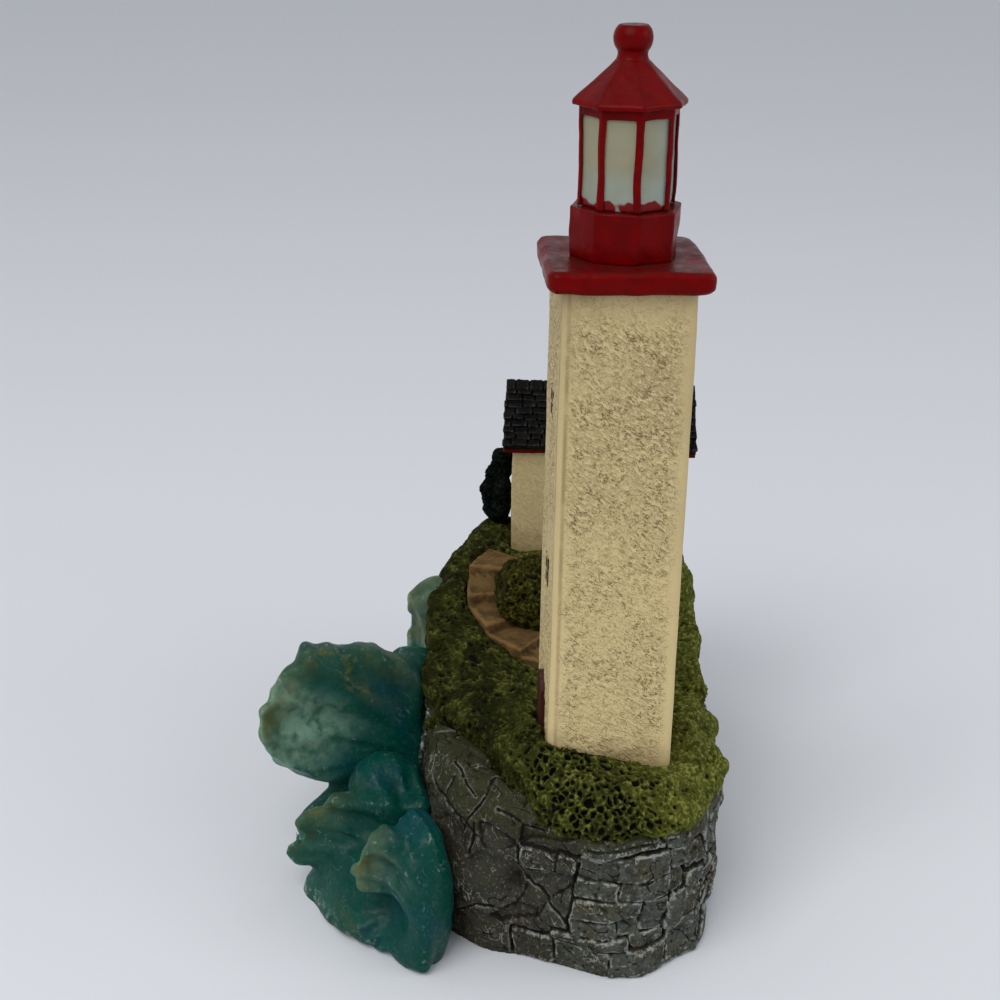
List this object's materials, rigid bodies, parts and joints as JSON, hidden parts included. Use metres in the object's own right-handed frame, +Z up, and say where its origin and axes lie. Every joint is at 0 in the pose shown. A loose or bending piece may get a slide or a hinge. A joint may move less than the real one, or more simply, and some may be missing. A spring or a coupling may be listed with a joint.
{
  "type": "lighthouse sculpture",
  "caption": "Table sculpture of a square light tower with a deck and glazed lantern beside a gabled keeper's cottage on a stone-course cliff, with clear resin waves breaking on one side.",
  "frame": {"origin": "middle of the cliff's flat underside, on the surface it stands on", "axes": "+X towards the tower end, -Y towards the sea side with the waves, +Z up along the tower"},
  "size_m": [0.0986, 0.0814, 0.1459],
  "materials": {
    "rock": "cast resin, dark grey with pale dry-brushed edges",
    "felt": "glued felt pad",
    "plaster": "cast resin painted as cream stucco",
    "brown_paint": "satin paint on resin",
    "earth": "matt paint on resin",
    "dark_pane": "gloss paint on resin",
    "red_paint": "satin-gloss paint on resin",
    "lantern_pane": "satin paint on resin",
    "slate": "satin black paint on resin",
    "turf": "matt pitted resin, olive with ochre tips",
    "leaf": "matt pitted resin, olive",
    "dark_leaf": "matt paint on resin",
    "sea_resin": "translucent tinted cast resin, frosted at the crests"
  },
  "bodies": {
    "root": {"rock_base": "rock", "base_pad": "felt", "tower_shaft": "plaster", "tower_door": "brown_paint", "doorstep": "earth", "tower_windows": "dark_pane", "gallery_deck": "red_paint", "lantern_pedestal": "red_paint", "lantern_core": "lantern_pane", "lantern_frame": "red_paint", "lantern_roof": "red_paint", "roof_finial": "red_paint", "cottage_walls": "plaster", "cottage_door": "brown_paint", "cottage_windows": "dark_pane", "cottage_roof": "slate", "ridge_cap": "slate", "eaves_trim": "red_paint", "footpath": "earth", "tower_turf": "turf", "bank_turf": "turf", "land_turf": "turf", "garden_bush": "leaf", "dark_shrub": "dark_leaf", "lower_wave": "sea_resin", "upper_wave": "sea_resin", "rear_wave": "sea_resin"}
  },
  "joints": []
}
